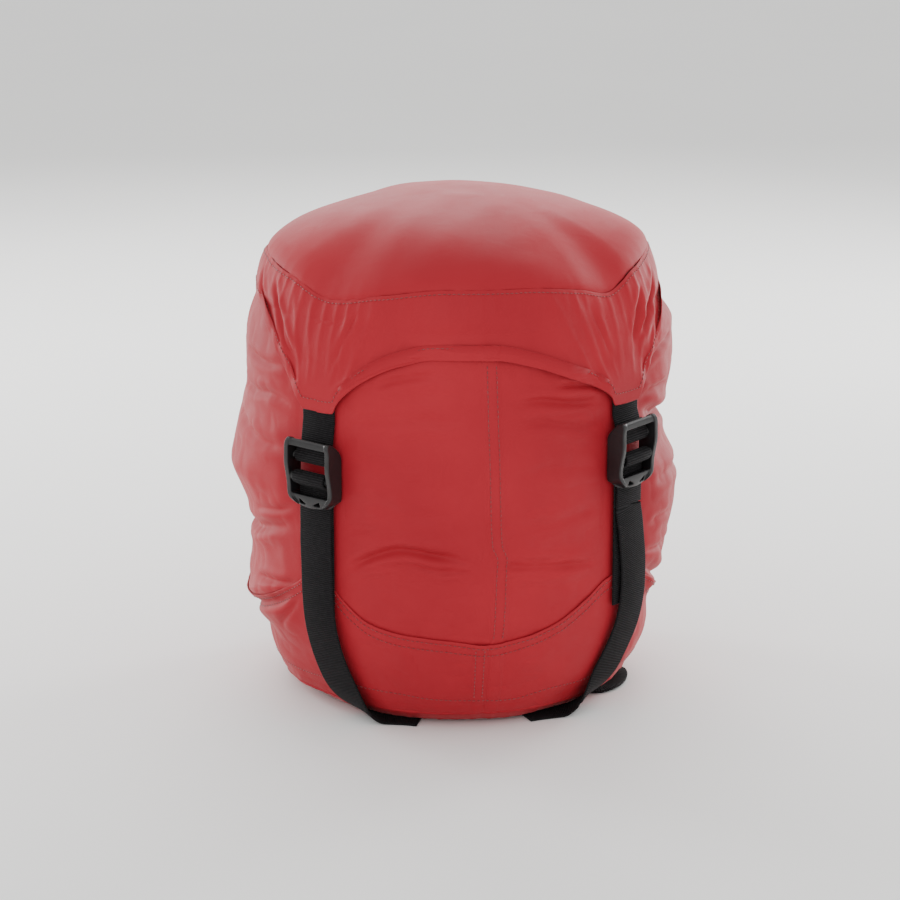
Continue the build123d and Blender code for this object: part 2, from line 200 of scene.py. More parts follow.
# folds of the wall: (points as (angle, height), depth, width, swelling above, swelling below)
WALL_FOLDS = [
    # long crease across the lower front, and the small folds under it
    ([(-41, 100), (-30.6, 114), (-20.8, 123), (-10.3, 120.5), (0, 115.5)], 2.6, 2.6, 1.3, 1.9),
    ([(2, 114), (10, 112), (22, 109), (37, 106)], 2.0, 2.4, 1.0, 1.5),
    ([(-20, 117), (-12, 112), (-4, 113)], 1.3, 1.8, 0.5, 0.9),
    ([(-13, 108), (-6, 110.5), (-1, 108.5)], 1.0, 1.5, 0.4, 0.6),
    ([(-34, 106), (-24, 113), (-16, 114)], 1.0, 1.6, 0.3, 0.7),
    ([(8, 118), (16, 114.5), (26, 114)], 0.8, 1.6, 0.4, 0.4),
    ([(6, 104), (14, 106), (24, 103)], 0.7, 1.6, 0.3, 0.5),
    # creases below the hem, right of the seam
    ([(6, 212), (16, 214), (28, 209), (41, 206)], 1.9, 2.2, 0.9, 1.2),
    ([(6, 197), (16, 201), (27, 195), (40, 188)], 1.3, 2.4, 0.7, 0.9),
    ([(20, 222), (30, 219.5), (41, 213)], 1.8, 1.7, 0.9, 0.8),
    ([(24, 226), (34, 222), (41, 217)], 1.0, 1.4, 0.5, 0.3),
    ([(16, 206), (27, 203.5), (36, 204)], 0.7, 1.5, 0.4, 0.4),
    # left of the seam: a slack lip under the hem and faint sagging
    ([(-30, 221), (-20, 229), (-10, 232)], 1.2, 2.2, 0.5, 0.8),
    ([(-40, 196), (-28, 203), (-14, 205), (-2, 202)], 0.8, 3.0, 0.5, 0.6),
    ([(-38, 176), (-26, 180), (-12, 176)], 0.5, 3.2, 0.3, 0.4),
    ([(-40, 146), (-30, 150), (-15, 146), (-3, 150)], 0.6, 3.4, 0.4, 0.4),
    ([(7, 168), (20, 172), (38, 166)], 0.6, 3.2, 0.4, 0.4),
    ([(7, 140), (18, 137), (30, 141), (40, 137)], 0.7, 3.0, 0.5, 0.5),
    ([(-41, 128), (-34, 131), (-26, 136)], 0.7, 2.2, 0.3, 0.4),
    # left side: deep tuck into the strap, and the pouch above it
    ([(-52, 86), (-62, 74), (-76, 62), (-92, 53), (-104, 50)], 4.2, 3.4, 2.0, 2.2),
    ([(-52, 90), (-64, 84), (-78, 80)], 1.8, 2.0, 0.8, 0.8),
    ([(-52, 82), (-58, 68), (-66, 52)], 1.6, 2.0, 0.7, 0.7),
    ([(-54, 126), (-66, 119), (-80, 110), (-98, 106), (-112, 110)], 3.4, 3.4, 2.4, 1.4),
    ([(-53, 140), (-62, 132), (-76, 126)], 1.4, 2.2, 0.8, 0.5),
    ([(-54, 176), (-68, 172), (-84, 178), (-100, 182)], 1.6, 3.2, 0.9, 0.9),
    ([(-54, 200), (-66, 204), (-80, 200), (-96, 203)], 1.8, 2.6, 1.0, 0.9),
    ([(-58, 224), (-72, 222), (-88, 226)], 1.5, 2.4, 0.8, 0.8),
    # right side: pinches where the strap bites
    ([(51, 194), (60, 190), (72, 182), (90, 178), (106, 181)], 4.6, 3.2, 2.2, 1.6),
    ([(51, 199), (60, 203), (74, 203)], 1.6, 2.0, 0.9, 0.5),
    ([(51, 188), (58, 178), (68, 168)], 1.4, 2.0, 0.6, 0.6),
    ([(52, 96), (62, 86), (76, 72), (88, 61), (102, 58)], 3.8, 3.2, 1.8, 2.0),
    ([(53, 90), (60, 76), (66, 60)], 1.6, 2.0, 0.7, 0.7),
    ([(53, 102), (66, 98), (80, 96)], 1.4, 2.0, 0.7, 0.5),
    ([(56, 140), (68, 145), (84, 142), (98, 146)], 1.3, 3.0, 0.8, 0.8),
    ([(55, 116), (66, 119), (80, 115)], 1.1, 2.4, 0.6, 0.6),
    ([(54, 222), (66, 228), (80, 232)], 2.0, 2.0, 1.0, 0.9),
    # back: the same kind of sagging folds, round the two rear straps
    ([(142, 92), (156, 102), (172, 98), (190, 103), (206, 98), (217, 90)], 2.4, 3.0, 1.2, 1.6),
    ([(143, 196), (158, 204), (176, 199), (192, 205), (216, 197)], 2.2, 2.8, 1.1, 1.2),
    ([(144, 150), (160, 156), (180, 150), (200, 155)], 0.9, 3.4, 0.6, 0.6),
    ([(150, 222), (170, 226), (196, 222), (210, 225)], 1.2, 2.4, 0.6, 0.7),
    ([(127, 190), (116, 184), (104, 181)], 2.2, 2.6, 1.1, 1.0),
    ([(128, 92), (118, 78), (106, 64)], 2.4, 2.8, 1.2, 1.2),
    ([(-127, 128), (-118, 120), (-108, 112)], 2.2, 2.8, 1.2, 1.0),
    ([(-127, 90), (-118, 72), (-106, 56)], 2.4, 2.8, 1.2, 1.2),
    ([(-128, 188), (-114, 182), (-102, 183)], 1.4, 2.6, 0.8, 0.8),
    ([(168, 128), (182, 124), (196, 129)], 0.9, 2.4, 0.5, 0.6),
]
# flat-felled front seam: half its width in degrees, and its course as (height, angle)
FELL_HALF_WIDTH = 2.0
FELL_LINE = [(64, 5.1), (105, 5.6), (117, 5.9), (127, 4.4), (150, 3.8), (190, 3.5), (238, 3.3)]


def fell_angle(z):
    return smooth_interp(z, FELL_LINE)


def off_strap(phi):
    """Degrees from phi to the nearest strap."""
    return np.min([np.abs(wrap_degrees(phi - a)) for a in STRAP_AT.values()], axis=0)


def wall_radius(phi, z, detail=1.0):
    """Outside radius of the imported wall, in millimetres, at angles phi and heights z (same shape)."""
    phi, z = np.broadcast_arrays(wrap_degrees(phi), np.asarray(z, float))
    rings = np.stack([smooth_interp(z, line) for _, line in OUTLINES])
    angles = [a for a, _ in OUTLINES]
    r = np.zeros(phi.shape)
    for k in range(len(angles) - 1):
        low, high = angles[k], angles[k + 1]
        here = (phi >= low) & (phi <= high)
        # a flat channel under each strap, and a round belly between two straps
        from_strap = low in STRAP_AT.values()
        strap, belly = (k, k + 1) if from_strap else (k + 1, k)
        lean = (phi - low) if from_strap else (high - phi)
        t = np.clip((lean - CHANNEL) / (high - low - CHANNEL), 0, 1)
        r = np.where(here, rings[strap] + (rings[belly] - rings[strap]) * np.sin(t * np.pi / 2) ** 0.85, r)
    free = smoothstep(5, 15, off_strap(phi))
    for row in WALL_FOLDS:
        r = r + detail * free * fold(phi, z, *row)
    soft = (1.1 * lattice_noise(phi, z, 18, 34, 3) + 0.6 * lattice_noise(phi, z, 7.5, 15, 5)
            + 0.22 * lattice_noise(phi + 0.06 * z, z, 3, 11, 7))
    crisp = 0.45 * np.abs(lattice_noise(phi + 0.10 * z, z, 5, 9, 11)) ** 0.7
    r = r + detail * (0.1 + 0.9 * free) * (soft + crisp - 0.3)
    ridge = np.abs(wrap_degrees(phi - fell_angle(z))) / FELL_HALF_WIDTH
    r = r + 0.7 * detail * (1 - smoothstep(0.85, 1.0, ridge)) * (z < 242)
    return r


# ---- mesh helpers


def add_mesh(name, points, faces, uvs=None):
    """A new object from points in millimetres and faces; uvs gives one (u, v) for each point."""
    mesh = bpy.data.meshes.new(name)
    mesh.from_pydata((np.asarray(points, float) * MM).tolist(), [], faces)
    if uvs is not None:
        layer = mesh.uv_layers.new(name="lay")
        corner = np.zeros(len(mesh.loops), int)
        mesh.loops.foreach_get("vertex_index", corner)
        layer.data.foreach_set("uv", np.asarray(uvs, float)[corner].ravel())
    mesh.polygons.foreach_set("use_smooth", np.ones(len(mesh.polygons), bool))
    mesh.update()
    obj = bpy.data.objects.new(name, mesh)
    bpy.context.collection.objects.link(obj)
    return obj


def grid_faces(rows, cols, closed):
    """Quads of a grid of points; closed joins its last column to its first."""
    i = np.arange(rows - 1)[:, None]
    j = np.arange(cols if closed else cols - 1)[None, :]
    a, b = i * cols + j, i * cols + (j + 1) % cols
    return np.stack([a, b, b + cols, a + cols], -1).reshape(-1, 4).tolist()


def sweep_faces(rows, cols):
    """Faces of a closed section swept along a line, with both its ends capped."""
    last = (rows - 1) * cols
    return (grid_faces(rows, cols, True) + [tuple(reversed(range(cols)))]
            + [tuple(last + k for k in range(cols))])


def ring_points(phi, r, z):
    a = np.radians(phi)
    return np.stack([r * np.sin(a), -r * np.cos(a), z], -1)


def ring_mesh(name, phi, r, z, uv_v=None, capped=()):
    """A closed band round the sack from grids of angle, radius and height; uvs are in millimetres.

    capped lists the rows, 0 or -1, that are closed with a fan to the axis.
    """
    rows, cols = r.shape
    v = z if uv_v is None else uv_v
    uvs = np.stack([np.radians(phi) * U_RADIUS, v], -1).reshape(-1, 2)
    points, faces = ring_points(phi, r, z).reshape(-1, 3), grid_faces(rows, cols, True)
    for row in capped:
        first = (rows - 1) * cols if row == -1 else 0
        centre = len(points)
        points = np.vstack([points, [[0, 0, float(np.mean(z[row]))]]])
        uvs = np.vstack([uvs, [[0, float(np.mean(v[row]))]]])
        for j in range(cols):
            a, b = first + j, first + (j + 1) % cols
            faces.append([a, b, centre] if row == -1 else [b, a, centre])
    return add_mesh(name, points, faces, uvs)


def thicken(obj, thickness, offset=-1.0):
    """Gives a skin its cloth thickness, in millimetres, and applies it."""
    mod = obj.modifiers.new("cloth", "SOLIDIFY")
    mod.thickness, mod.offset, mod.use_even_offset = thickness * MM, offset, False
    apply_modifiers(obj)


def apply_modifiers(obj):
    bpy.context.view_layer.update()
    made = bpy.data.meshes.new_from_object(obj.evaluated_get(bpy.context.evaluated_depsgraph_get()))
    obj.modifiers.clear()
    obj.data = made
    obj.data.polygons.foreach_set("use_smooth", np.ones(len(made.polygons), bool))


QUALITY = 1.0


def angles_round(count):
    return np.linspace(-180, 180, int(count * QUALITY), endpoint=False)


# ---- materials


class Nodes:
    """Short hand for building a node material."""

    def __init__(self, name):
        self.material = bpy.data.materials.new(name)
        self.material.use_nodes = True
        self.tree = self.material.node_tree
        self.shader = self.tree.nodes["Principled BSDF"]
        self.coords = self.add("ShaderNodeTexCoord")

    def add(self, kind, **values):
        node = self.tree.nodes.new(kind)
        for key, value in values.items():
            if key in node.inputs:
                node.inputs[key].default_value = value
            else:
                setattr(node, key, value)
        return node

    def link(self, source, target):
        self.tree.links.new(source, target)

    def set(self, **values):
        for key, value in values.items():
            self.shader.inputs[key.replace("_", " ")].default_value = value

    def texture(self, kind, space="Object", stretch=None, **values):
        """Value socket of a procedural texture in a coordinate space, which stretch scales."""
        node = self.add("ShaderNodeTex" + kind, **values)
        source = self.coords.outputs[space]
        if stretch is not None:
            mapping = self.add("ShaderNodeMapping")
            mapping.inputs["Scale"].default_value = stretch
            self.link(source, mapping.inputs["Vector"])
            source = mapping.outputs["Vector"]
        self.link(source, node.inputs["Vector"])
        return node.outputs["Fac"]

    def bands(self, direction, stretch, distortion):
        """Threads of a cloth across its uvs."""
        return self.texture("Wave", "UV", stretch, wave_type="BANDS", bands_direction=direction,
                            Scale=1.0, Distortion=distortion)

    def product(self, first, second):
        node = self.add("ShaderNodeMath", operation="MULTIPLY")
        self.link(first, node.inputs[0])
        self.link(second, node.inputs[1])
        return node.outputs["Value"]

    def bumps(self, *layers):
        """Stacks bump layers, each (height socket, strength, distance in metres)."""
        last = None
        for height, strength, distance in layers:
            bump = self.add("ShaderNodeBump", Strength=strength, Distance=distance)
            self.link(height, bump.inputs["Height"])
            if last is not None:
                self.link(last.outputs["Normal"], bump.inputs["Normal"])
            last = bump
        self.link(last.outputs["Normal"], self.shader.inputs["Normal"])

    def colour(self, factor, low, dark, high, light):
        """Base colour that goes from dark to light as factor goes from low to high."""
        ramp = self.add("ShaderNodeValToRGB")
        for element, at, shade in zip(ramp.color_ramp.elements, (low, high), (dark, light)):
            element.position, element.color = at, (*shade, 1.0)
        self.link(factor, ramp.inputs["Fac"])
        self.link(ramp.outputs["Color"], self.shader.inputs["Base Color"])

    def roughness(self, factor, low, high):
        spread = self.add("ShaderNodeMapRange")
        spread.inputs["To Min"].default_value = low
        spread.inputs["To Max"].default_value = high
        self.link(factor, spread.inputs["Value"])
        self.link(spread.outputs["Result"], self.shader.inputs["Roughness"])


def fabric_material(name, deep, bright, roughness=0.58, sheen=0.16):
    """Coated taffeta: fine plain weave, soft sheen, faint colour drift and dry crinkles."""
    n = Nodes(name)
    n.colour(n.texture("Noise", Scale=9.0, Detail=3.0, Roughness=0.55), 0.30, deep, 0.72, bright)
    fine = (0.95, 0.95, 1.0)
    weave = n.product(n.bands("X", fine, 0.15), n.bands("Y", fine, 0.15))
    dry = n.texture("Noise", stretch=(1.0, 1.0, 1.5), Scale=70.0, Detail=4.0, Roughness=0.6, Distortion=0.6)
    n.bumps((dry, 0.22, 0.0008), (weave, 0.12, 0.00008))
    n.roughness(dry, roughness - 0.07, roughness + 0.08)
    n.set(Sheen_Weight=sheen, Sheen_Roughness=0.32, Sheen_Tint=(1.0, 0.55, 0.53, 1.0))
    n.set(Specular_IOR_Level=0.17)
    return n.material


def webbing_material():
    """Black polyester webbing: fine cross ribs over lengthwise yarns, with a dull shine."""
    n = Nodes("webbing_weave")
    ribs = n.bands("Y", (0.25, 0.245, 1.0), 0.25)
    yarns = n.bands("X", (0.36, 0.36, 1.0), 0.4)
    fuzz = n.texture("Noise", Scale=420.0, Detail=3.0)
    n.colour(n.product(ribs, fuzz), 0.05, (0.0045, 0.004, 0.0045), 0.6, (0.017, 0.0155, 0.017))
    n.bumps((ribs, 0.9, 0.0004), (yarns, 0.25, 0.00012), (fuzz, 0.2, 0.0001))
    n.set(Roughness=0.7, Sheen_Weight=0.02, Sheen_Roughness=0.4, Specular_IOR_Level=0.10)
    return n.material


def plastic_material():
    """Black acetal moulding: satin, with a faint mould texture and slightly worn gloss."""
    n = Nodes("buckle_acetal")
    wear = n.texture("Noise", Scale=60.0, Detail=4.0)
    n.colour(wear, 0.3, (0.006, 0.0055, 0.006), 0.8, (0.013, 0.012, 0.013))
    n.roughness(wear, 0.27, 0.42)
    n.bumps((n.texture("Noise", Scale=900.0, Detail=2.0), 0.12, 0.00008))
    n.set(Specular_IOR_Level=0.42)
    return n.material


def thread_material(name, colour):
    n = Nodes(name)
    twist = n.texture("Wave", Scale=700.0, Distortion=1.0)
    n.colour(twist, 0.0, tuple(c * 0.7 for c in colour), 1.0, colour)
    n.bumps((twist, 0.3, 0.0001))
    n.set(Roughness=0.55, Sheen_Weight=0.3)
    return n.material


def metal_material(name, colour, roughness):
    n = Nodes(name)
    brushed = n.texture("Noise", Scale=500.0, Detail=3.0)
    n.colour(brushed, 0.2, tuple(c * 0.8 for c in colour), 0.8, colour)
    n.bumps((brushed, 0.1, 0.00005))
    n.set(Metallic=1.0, Roughness=roughness)
    return n.material


RED_DEEP, RED_BRIGHT = (0.300, 0.0095, 0.018), (0.375, 0.015, 0.025)
NYLON = fabric_material("red_taffeta", RED_DEEP, RED_BRIGHT)
LOAD_CLOTH = fabric_material("load_ripstop", (0.10, 0.11, 0.14), (0.16, 0.17, 0.20), 0.6, 0.2)
WEBBING = webbing_material()
PLASTIC = plastic_material()
RED_THREAD = thread_material("red_thread", (0.20, 0.008, 0.011))
CORD = thread_material("cord_braid", (0.03, 0.03, 0.033))
EYELET_PAINT = metal_material("eyelet_paint", (0.05, 0.05, 0.05), 0.35)
SPRING_STEEL = metal_material("spring_steel", (0.6, 0.6, 0.6), 0.28)


def dress(obj, material, body=None):
    obj.data.materials.clear()
    obj.data.materials.append(material)
    if body is not None:
        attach(obj, body)
    return obj


# ---- the wall, from the base seam to the throat
# edges of the pieces as (angle, height)
HEM = [(-45, 202.5), (-40, 203.5), (-38.8, 209), (-30, 227), (-21, 236.5), (-12, 241), (4, 240.6),
       (14, 235.7), (25.5, 225.6), (35, 216), (38.8, 209), (40, 204), (45, 203)]
SIDE_HEM_APEX = 258.0
CAP_EDGE = [(-45, 95), (-42, 93), (-37, 83), (-30, 72), (-19, 67), (-8, 65), (3, 62), (14, 66), (23, 73.5),
            (31, 83), (38, 93), (45, 96)]
LID_SEAM = [(-180, 281), (-150, 277), (-135, 270), (-120, 277), (-89, 283), (-64, 278), (-46, 269.5),
            (-28, 276), (-8, 281.6), (13, 281), (32, 276), (45, 270), (58, 279), (84, 286), (115, 278),
            (135, 270), (150, 277), (180, 281)]


def quarter_arch(phi, low, high, corner_flat=5.4):
    """Height of an arch between two straps, low at the straps and high midway."""
    away = np.abs(wrap_degrees(phi - 90 * np.round(np.asarray(phi) / 90)))
    t = np.clip((45 - away - corner_flat) / (45 - corner_flat), 0, 1)
    return low + (high - low) * np.sin(t * np.pi / 2) ** 0.85


def hem_height(phi):
    phi = wrap_degrees(phi)
    front = smooth_interp(phi, HEM)
    side = quarter_arch(phi, 203, SIDE_HEM_APEX)
    back = quarter_arch(phi, 203, 243)
    return np.where(np.abs(phi) <= 45, front, np.where(np.abs(phi) > 135, back, side))


def cap_height(phi):
    phi = wrap_degrees(phi)
    front = smooth_interp(phi, CAP_EDGE)
    return np.where(np.abs(phi) <= 45, front, quarter_arch(phi, 95.5, 62))


def lid_seam_height(phi):
    return smooth_interp(wrap_degrees(phi), LID_SEAM)


def pleats(phi, count, seed, sharp=1.6):
    """Uneven gathers from 0 to 1: count folds round the sack, with wandering spacing and depth."""
    warped = phi + 1.6 * lattice_noise(phi, 0, 12, 10, seed)
    warped = warped + 0.5 * lattice_noise(phi, 0, 4, 10, seed + 1)
    wave = 0.5 + 0.5 * np.cos(np.radians(warped) * count)
    depth = 0.62 + 0.38 * lattice_noise(phi, 20, 6, 10, seed + 2)
    return wave ** sharp * depth


def above_shoulder(phi, t):
    """Radius and height of the wall from SHOULDER_Z (t = 0) to the throat (t = 1)."""
    start = wall_radius(phi, np.full(np.shape(phi), SHOULDER_Z))
    r = start + (THROAT[0] - start) * t ** 1.15
    z = SHOULDER_Z + (THROAT[1] - SHOULDER_Z) * (1 - (1 - t) ** 1.9)
    gathers = pleats(phi, 46, 31) * 2.4 * smoothstep(0.05, 0.9, t) * (0.4 + 0.6 * t)
    return r, z + gathers * 0.7


def make_sack_body():
    phi_line = angles_round(720)
    z_line = np.linspace(SEAM_BASE[1] - 3.0, SHOULDER_Z, int(270 * QUALITY))
    phi, z = np.meshgrid(phi_line, z_line)
    r = wall_radius(phi, z)
    phi_up, t = np.meshgrid(phi_line, np.linspace(0, 1, int(40 * QUALITY))[1:])
    r_up, z_up = above_shoulder(phi_up, t)
    phi, r, z = np.vstack([phi, phi_up]), np.vstack([r, r_up]), np.vstack([z, z_up])
    body = ring_mesh("sack_body_skin", phi, r, z)
    thicken(body, 0.35)
    dress(body, NYLON, "root")
    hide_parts("sack_body")


# ---- stitches
STITCH = 2.9                    # length of one stitch with its gap
THREAD_LENGTH, THREAD_WIDTH = 2.1, 0.55
THREAD_LIFT = 0.28              # how far a stitch's middle rises over its ends
THREAD_SIDES = 6
THREAD_SIZES = [(-0.5, 0.25), (-0.30, 0.9), (0.0, 1.0), (0.30, 0.9), (0.5, 0.25)]


def on_surface(radius_of, phi, z):
    """Points and outward normals of a skin given by radius_of(phi, z)."""
    def at(turn, rise):
        return ring_points(phi + turn, radius_of(phi + turn, z + rise), z + rise)

    normal = np.cross(at(0.4, 0) - at(-0.4, 0), at(0, 0.6) - at(0, -0.6))
    return at(0, 0), normal / np.linalg.norm(normal, axis=1, keepdims=True)


def stitch_line(name, radius_of, phi, z, body="root", proud=0.1):
    """Short raised threads along a line on a skin, each lying on the cloth."""
    points, normals = on_surface(radius_of, phi, z)
    points = points + normals * proud
    steps = np.linalg.norm(np.diff(points, axis=0), axis=1)
    run = np.concatenate([[0], np.cumsum(steps)])

    def read(values, place):
        return np.array([np.interp(place, run, values[:, k]) for k in range(3)])

    turns = [2 * math.pi * k / THREAD_SIDES for k in range(THREAD_SIDES)]
    thread = sweep_faces(len(THREAD_SIZES), THREAD_SIDES)
    verts, faces = [], []
    for i in range(max(int(run[-1] / STITCH), 1)):
        middle = (i + 0.5) * STITCH
        here, normal = read(points, middle), read(normals, middle)
        along = read(points, middle + 0.8) - read(points, middle - 0.8)
        along /= np.linalg.norm(along) + 1e-9
        normal -= along * normal.dot(along)
        normal /= np.linalg.norm(normal) + 1e-9
        across = np.cross(normal, along)
        faces += [tuple(len(verts) + corner for corner in face) for face in thread]
        for place, size in THREAD_SIZES:
            centre = here + along * place * THREAD_LENGTH + normal * THREAD_LIFT * (size - 0.55)
            for turn in turns:
                verts.append(centre + across * math.cos(turn) * THREAD_WIDTH / 2 * size
                             + normal * math.sin(turn) * THREAD_WIDTH / 2 * size)
    dress(add_mesh(name, verts, faces), RED_THREAD, body)


def make_wall_stitches():
    z = np.linspace(66, 240, 120)
    for k, shift in enumerate((-1.25, 1.25)):
        stitch_line("fell_stitches_%d" % k, wall_radius, fell_angle(z) + shift, z)


# ---- base cap and base
GRAB_AT = 72.0                  # middle of the grab loop
CAP_FELL_AT = 0.4               # the cap's own flat-felled seam, a little off the wall's
CAP_FELL_HALF_WIDTH = 1.9
CAP_LOW_Z = SEAM_BASE[1] + 4.0  # the cap's wall starts here, over the tuck of the seam


def cap_radius(phi, z):
    """Outside of the base cap: it follows the wall, standing a little proud of it."""
    edge = cap_height(phi)
    near_edge = smoothstep(8, 0, edge - z)
    waver = lattice_noise(phi, 3, 5, 12, 41)
    ridge = np.abs(wrap_degrees(phi - CAP_FELL_AT)) / CAP_FELL_HALF_WIDTH
    fell = 0.6 * (1 - smoothstep(0.85, 1.0, ridge))
    return wall_radius(phi, z, 0.9) + 0.95 + near_edge * (0.45 + 0.35 * waver) + fell


def make_base_cap():
    phi_line = angles_round(720)
    phi, t = np.meshgrid(phi_line, np.linspace(0, 1, int(90 * QUALITY)))
    z = CAP_LOW_Z + (cap_height(phi) - CAP_LOW_Z) * t
    r = cap_radius(phi, z)
    # rolled lip along the upper edge
    lip_phi = np.tile(phi_line, (3, 1))
    lip_z = np.stack([cap_height(phi_line) + dz for dz in (0.5, 0.3, -0.7)])
    lip_r = np.stack([cap_radius(phi_line, cap_height(phi_line)) + dr for dr in (-0.25, -0.75, -1.0)])
    # tuck of the seam under the lower edge
    low_r, low_z = base_edge(phi_line)
    phi = np.vstack([np.tile(phi_line, (len(low_r), 1)), phi, lip_phi])
    r, z = np.vstack([low_r, r, lip_r]), np.vstack([low_z, z, lip_z])
    cap = ring_mesh("base_cap_skin", phi, r, z)
    thicken(cap, 0.4)
    dress(cap, NYLON, "root")
    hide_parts("base_cap")
    line = np.linspace(-180, 180, 900)
    for k, drop in enumerate((2.2, 7.4)):
        stitch_line("cap_edge_stitches_%d" % k, cap_radius, line, cap_height(line) - drop)
    stitch_line("base_seam_stitches", cap_radius, line, base_stitch_height(line), proud=0.05)
    z = np.linspace(24, 60, 40)
    for k, shift in enumerate((-1.2, 1.2)):
        stitch_line("cap_fell_stitches_%d" % k, cap_radius, CAP_FELL_AT + shift + 0 * z, z)


def base_stitch_height(phi):
    return 23.5 + 2.2 * np.cos(np.radians(phi * 4 + 180)) + 1.6 * lattice_noise(phi, 0, 12, 10, 47)


def over_grab_loop(phi):
    """1 where the sack's edge is pushed up by the grab loop's sewn ends, and 0 away from it."""
    return np.exp(-((wrap_degrees(phi - GRAB_AT) / 19.0) ** 4))


def base_edge(phi):
    """Rings from the bottom seam up to the cap's wall: radii and heights."""
    puckers = 0.7 * pleats(phi, 60, 53) - 0.3
    low = 1.6 * lattice_noise(phi, 0, 15, 10, 51)
    start = cap_radius(phi, np.full(np.shape(phi), CAP_LOW_Z))
    radii = [98.0 + low + puckers, 102.2 + low + puckers * 1.6, 105.6 + 0.6 * low + puckers * 1.4,
             start - 1.6 + puckers * 0.8]
    pushed = over_grab_loop(phi)
    heights = [2.6 + 2.8 * pushed, 4.6 + 0.5 * puckers + 3.2 * pushed, 7.8 + 0.5 * puckers + 2.4 * pushed,
               12.6 + 0.6 * pushed]
    return np.stack(radii), np.stack(heights)


def make_base_panel():
    phi_line = angles_round(480)
    low_r, low_z = base_edge(phi_line)
    level, pushed = 0 * phi_line, 2.6 * over_grab_loop(phi_line)
    rings_r = [low_r[1] - 0.6, low_r[0] - 0.6] + [r + level for r in (92, 80, 50, 20, 1)]
    rings_z = [low_z[1] - 0.3, low_z[0] - 0.5, 1.7 + pushed, 0.5 + pushed] + [0.45 + level] * 3
    phi = np.tile(phi_line, (len(rings_r), 1))
    panel = ring_mesh("base_panel_skin", phi, np.stack(rings_r), np.stack(rings_z), np.stack(rings_r), (-1,))
    thicken(panel, 0.4, 1.0)
    dress(panel, NYLON, "root")
    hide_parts("base_panel")


# ---- lid
LID_SEAM_R = [(-180, 119), (-135, 117.5), (-89, 118.5), (-46, 117.5), (0, 119.5), (45, 117.5), (84, 119.5),
              (135, 117.5), (180, 119)]
CROWN_Z, MEAN_SEAM_Z = 318.4, 278.0
TAB_D = 133.7                   # the tabs lie flat over the webbing at this distance from the axis


def lid_seam_radius(phi):
    return smooth_interp(wrap_degrees(phi), LID_SEAM_R)


def apron_radius(phi, z):
    """Outside of the apron: it hangs from the seam over the shoulder, gathered at the seam."""
    seam, hem = lid_seam_height(phi), hem_height(phi)
    drop = np.clip((seam - z) / 24.0, 0, 1)
    over_wall = wall_radius(phi, np.minimum(z, SHOULDER_Z), 0.6) + 1.5
    top_r = lid_seam_radius(phi) + 0.15
    hang = top_r + (over_wall - top_r) * np.sin(drop * np.pi / 2) ** 0.8
    toward = off_strap(phi)
    corner = np.exp(-((toward / 21.0) ** 2))
    share = np.clip((seam - z) / np.maximum(seam - hem, 12.0), 0, 1)
    gathered = pleats(phi, 84, 61, 2.6)
    amount = (0.35 + 0.55 * corner) * np.exp(-((share * 2.2) ** 1.2)) * smoothstep(0, 0.06, share)
    draw = np.zeros(np.shape(phi))
    for angle in STRAP_AT.values():
        lean = wrap_degrees(phi - angle)
        fan = lean / (0.26 + 0.74 * np.clip((z - 200) / 78.0, 0, 1.1))
        warped = fan + 1.5 * lattice_noise(fan, angle, 6, 10, 77)
        ridges = (0.5 + 0.5 * np.cos(np.radians(warped) * 44)) ** 3
        uneven = 0.55 + 0.45 * lattice_noise(fan, 40 + angle, 5, 10, 79)
        outer = smoothstep(3, 16, np.abs(fan)) * np.exp(-((fan / 30.0) ** 4))
        reach = outer * smoothstep(206, 224, z) * (0.35 + 0.65 * smoothstep(0, 0.25, share))
        draw = draw + 1.35 * reach * ridges * uneven
    lip = smoothstep(12, 0, z - hem)
    flare = lip * (0.3 + 0.5 * (lattice_noise(phi, 0, 9, 10, 67) + 0.2)) * smoothstep(4, 12, toward)
    front_gap = 1.2 * lip * np.exp(-(((wrap_degrees(phi) - 17) / 13.0) ** 2))
    soft = 0.8 * lattice_noise(phi, z, 12, 26, 71) + 0.3 * lattice_noise(phi, z, 6, 16, 73)
    crisp = 0.25 * np.abs(lattice_noise(phi - 0.08 * z, z, 6, 12, 75)) ** 0.7
    near_tab = smoothstep(232, 212, z) * smoothstep(12, 6.5, toward)
    body = hang + amount * gathered + draw + flare + front_gap + (soft + crisp) * (1 - 0.8 * near_tab)
    flat_tab = TAB_D / np.cos(np.radians(np.minimum(toward, 30)))
    return body + (flat_tab - body) * near_tab


# folds of the apron, in the same form as WALL_FOLDS
APRON_FOLDS = [
    ([(-72, 276), (-68, 262), (-62, 246), (-54, 228)], 1.6, 2.0, 1.0, 1.0),
    ([(-84, 278), (-80, 268), (-76, 258)], 1.4, 2.0, 1.0, 0.8),
    ([(-34, 268), (-38, 252), (-41, 230)], 0.8, 1.5, 0.4, 0.4),
    ([(60, 272), (56, 256), (50, 236)], 2.0, 2.2, 1.2, 1.0),
    ([(72, 276), (66, 262), (58, 248), (52, 236)], 2.4, 2.0, 1.6, 1.0),
    ([(35, 266), (38, 250), (41, 230)], 0.7, 1.5, 0.4, 0.4),
    ([(-10, 243), (-24, 237), (-36, 222), (-41, 210)], 1.0, 1.2, 0.7, 0.6),
]
# creases drawn down to the two rear tabs, one on each side of each
for mirror in (1, -1):
    for top, middle, low in ((120, 126, 132), (150, 143, 138)):
        line = [(mirror * top, 268), (mirror * middle, 250), (mirror * low, 232)]
        APRON_FOLDS.append((line, 1.5, 2.0, 0.8, 0.8))


def apron_outside(phi, z):
    r = apron_radius(phi, z)
    for row in APRON_FOLDS:
        r = r + fold(phi, z, *row)
    return r


